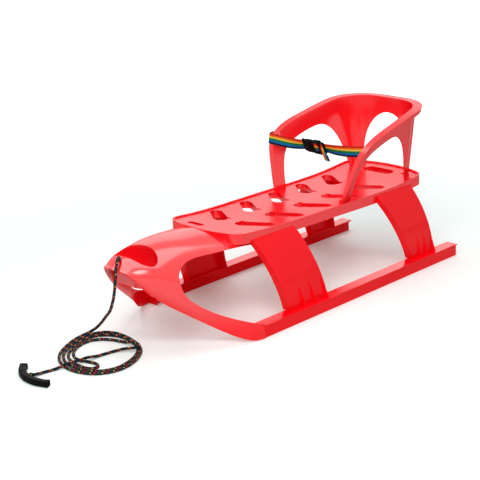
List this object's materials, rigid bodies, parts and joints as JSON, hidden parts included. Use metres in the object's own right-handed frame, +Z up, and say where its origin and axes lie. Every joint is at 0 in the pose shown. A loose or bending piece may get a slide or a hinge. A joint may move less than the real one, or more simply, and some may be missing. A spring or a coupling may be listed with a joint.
{
  "type": "plastic sled with backrest",
  "caption": "Child's moulded sled on two runners, with splayed legs, an open nose, a wrap-around backrest, a lap strap and a pull rope with a bar handle.",
  "frame": {"origin": "middle of the sled's footprint, on the floor under the runners", "axes": "+Z up, -Y towards the nose, +X to the sled's left"},
  "size_m": [0.36, 1.1817, 0.3779],
  "materials": {
    "red_moulding": "glossy red moulding",
    "webbing": "woven webbing in coloured stripes",
    "buckle": "black moulding",
    "rope": "braided, black with coloured flecks",
    "handle": "black moulding"
  },
  "bodies": {
    "sled": {"deck": "red_moulding", "nose_cowl": "red_moulding", "left_runner": "red_moulding", "right_runner": "red_moulding", "left_front_leg": "red_moulding", "right_front_leg": "red_moulding", "left_rear_leg": "red_moulding", "right_rear_leg": "red_moulding", "rope_knot": "rope", "rope_drop": "rope", "rope_coil": "rope", "rope_lead": "rope", "handle": "handle"},
    "backrest": {"backrest": "red_moulding", "left_strap": "webbing", "right_strap": "webbing", "buckle_socket": "buckle", "buckle_tongue": "buckle", "strap_tail": "webbing"}
  },
  "joints": [
    {"name": "backrest_lift", "type": "slide", "parent": "sled", "child": "backrest", "axis": [0, 0, 1], "range_m": [0, 0.04]}
  ]
}
